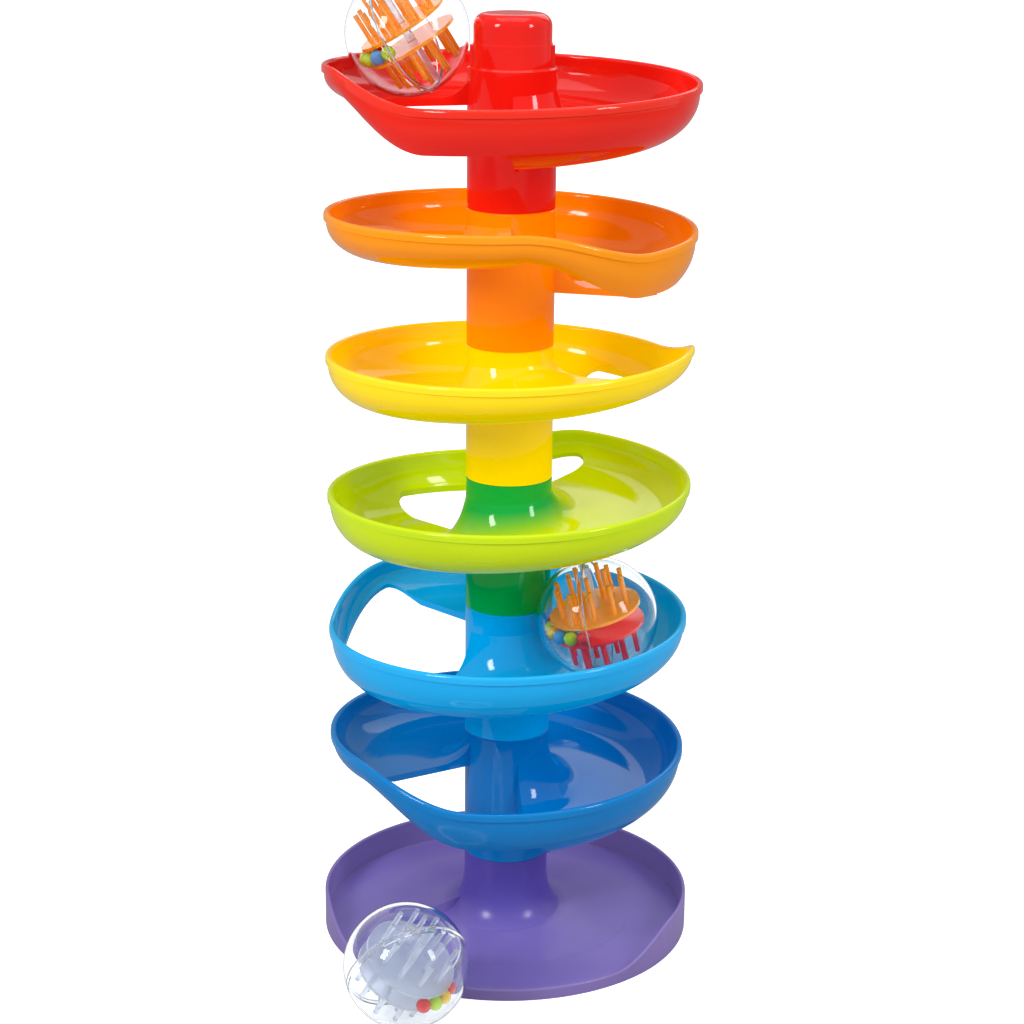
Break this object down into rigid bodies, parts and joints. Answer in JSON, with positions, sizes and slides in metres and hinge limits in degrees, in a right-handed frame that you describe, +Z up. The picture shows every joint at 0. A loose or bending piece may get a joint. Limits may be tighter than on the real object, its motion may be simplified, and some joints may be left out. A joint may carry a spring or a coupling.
{
  "type": "ball tower",
  "caption": "Stacking ball tower: a round base, helical bowl trays that lift off one another on a central column, and clear rattle balls filled with small beads.",
  "frame": {"origin": "centre of the base's ring foot, on the surface it stands on", "axes": "+Z up the tower, -Y towards the open front of the base, +X to the right seen from the front"},
  "size_m": [0.25, 0.3189, 0.6447],
  "materials": {
    "disc_clear": "gloss",
    "bead_blue": "gloss",
    "bead_lime": "gloss",
    "bead_red": "gloss",
    "bead_yellow": "gloss",
    "clear": "gloss",
    "disc_orange": "gloss",
    "disc_red": "gloss",
    "base": "semi-gloss, slightly milky",
    "tray_blue": "gloss",
    "tray_green": "gloss",
    "tray_orange": "gloss",
    "tray_red": "gloss",
    "tray_sky": "gloss",
    "tray_yellow": "gloss"
  },
  "bodies": {
    "base": {"base": "base"},
    "tray_blue": {"tray_blue": "tray_blue"},
    "tray_sky": {"tray_sky": "tray_sky"},
    "tray_green": {"tray_green": "tray_green"},
    "tray_yellow": {"tray_yellow": "tray_yellow"},
    "tray_orange": {"tray_orange": "tray_orange"},
    "tray_red": {"tray_red": "tray_red"},
    "ball_1": {"ball_1_front_shell": "clear", "ball_1_rear_shell": "clear", "ball_1_upper_disc": "disc_orange", "ball_1_lower_disc": "disc_orange", "ball_1_axle": "disc_clear"},
    "ball_1_beads": {"ball_1_beads_blue": "bead_blue", "ball_1_beads_lime": "bead_lime", "ball_1_beads_red": "bead_red", "ball_1_beads_yellow": "bead_yellow"},
    "ball_2": {"ball_2_front_shell": "clear", "ball_2_rear_shell": "clear", "ball_2_upper_disc": "disc_orange", "ball_2_lower_disc": "disc_red", "ball_2_axle": "disc_clear"},
    "ball_2_beads": {"ball_2_beads_blue": "bead_blue", "ball_2_beads_lime": "bead_lime", "ball_2_beads_red": "bead_red", "ball_2_beads_yellow": "bead_yellow"},
    "ball_3": {"ball_3_front_shell": "clear", "ball_3_rear_shell": "clear", "ball_3_upper_disc": "disc_clear", "ball_3_lower_disc": "disc_clear", "ball_3_axle": "disc_clear"},
    "ball_3_beads": {"ball_3_beads_lime": "bead_lime", "ball_3_beads_red": "bead_red", "ball_3_beads_yellow": "bead_yellow"}
  },
  "joints": [
    {"name": "tray_blue_lift", "type": "slide", "parent": "base", "child": "tray_blue", "axis": [0, 0, 1], "range_m": [0, 0.05]},
    {"name": "tray_sky_lift", "type": "slide", "parent": "tray_blue", "child": "tray_sky", "axis": [0, 0, 1], "range_m": [0, 0.05]},
    {"name": "tray_green_lift", "type": "slide", "parent": "tray_sky", "child": "tray_green", "axis": [0, 0, 1], "range_m": [0, 0.05]},
    {"name": "tray_yellow_lift", "type": "slide", "parent": "tray_green", "child": "tray_yellow", "axis": [0, 0, 1], "range_m": [0, 0.05]},
    {"name": "tray_orange_lift", "type": "slide", "parent": "tray_yellow", "child": "tray_orange", "axis": [0, 0, 1], "range_m": [0, 0.05]},
    {"name": "tray_red_lift", "type": "slide", "parent": "tray_orange", "child": "tray_red", "axis": [0, 0, 1], "range_m": [0, 0.05]},
    {"name": "ball_1_roll", "type": "hinge", "parent": "tray_red", "child": "ball_1", "pos_m": [0, 0, 0.60084], "axis": [0.0753, 0.0557, 0.9956], "range_deg": [-73, 0]},
    {"name": "ball_1_beads_spin", "type": "hinge", "parent": "ball_1", "child": "ball_1_beads", "pos_m": [-0.06694, 0.02047, 0.60476], "axis": [-0.5265, -0.0993, 0.8444], "continuous": true},
    {"name": "ball_2_roll", "type": "hinge", "parent": "tray_sky", "child": "ball_2", "pos_m": [0, 0, 0.23024], "axis": [-0.0877, -0.0328, 0.9956], "range_deg": [-73, 0]},
    {"name": "ball_2_beads_spin", "type": "hinge", "parent": "ball_2", "child": "ball_2_beads", "pos_m": [0.05871, -0.03812, 0.23416], "axis": [-0.2512, -0.0804, 0.9646], "continuous": true},
    {"name": "ball_3_roll_out", "type": "slide", "parent": "base", "child": "ball_3", "axis": [-0.3746, -0.9272, 0], "range_m": [0, 0.1]},
    {"name": "ball_3_beads_spin", "type": "hinge", "parent": "ball_3", "child": "ball_3_beads", "pos_m": [-0.06218, -0.15391, 0.0403], "axis": [0.4504, -0.3003, 0.8408], "continuous": true}
  ]
}
